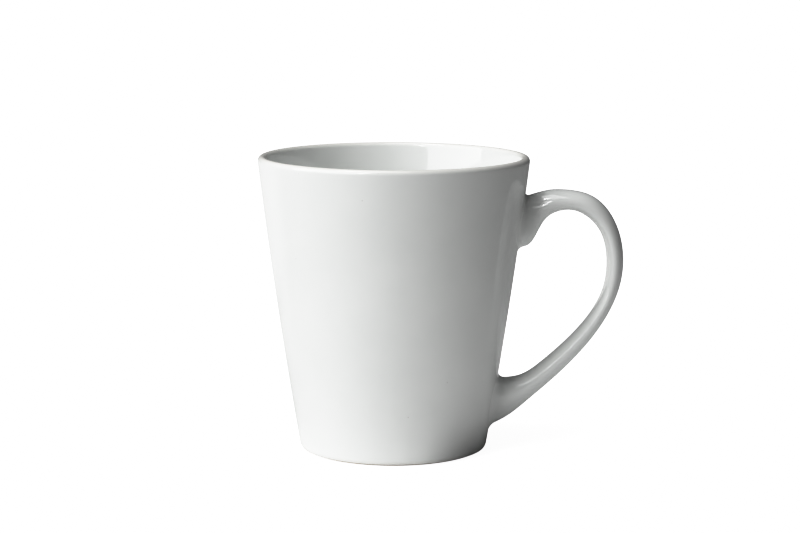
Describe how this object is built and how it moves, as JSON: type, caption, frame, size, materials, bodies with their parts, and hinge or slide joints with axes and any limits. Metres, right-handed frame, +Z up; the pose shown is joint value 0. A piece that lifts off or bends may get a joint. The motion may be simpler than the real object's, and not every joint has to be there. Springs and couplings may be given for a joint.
{
  "type": "ceramic mug",
  "caption": "Conical glazed ceramic mug with a single loop handle, a rounded lip and a bare foot ring.",
  "frame": {"origin": "centre of the foot ring on the table plane", "axes": "+Z up along the cup's axis, +X towards the handle, +Y completes the right-handed frame"},
  "size_m": [0.1214, 0.09, 0.0983],
  "materials": {
    "biscuit": "fired, unglazed, fine matte",
    "luting_slip": "fired, unglazed, fine matte",
    "white_glaze": "clear gloss over white"
  },
  "bodies": {
    "root": {"cup_body": "biscuit", "handle": "biscuit", "upper_slip_joint": "luting_slip", "lower_slip_joint": "luting_slip", "glaze_coat": "white_glaze", "underside_glaze": "white_glaze"}
  },
  "joints": []
}
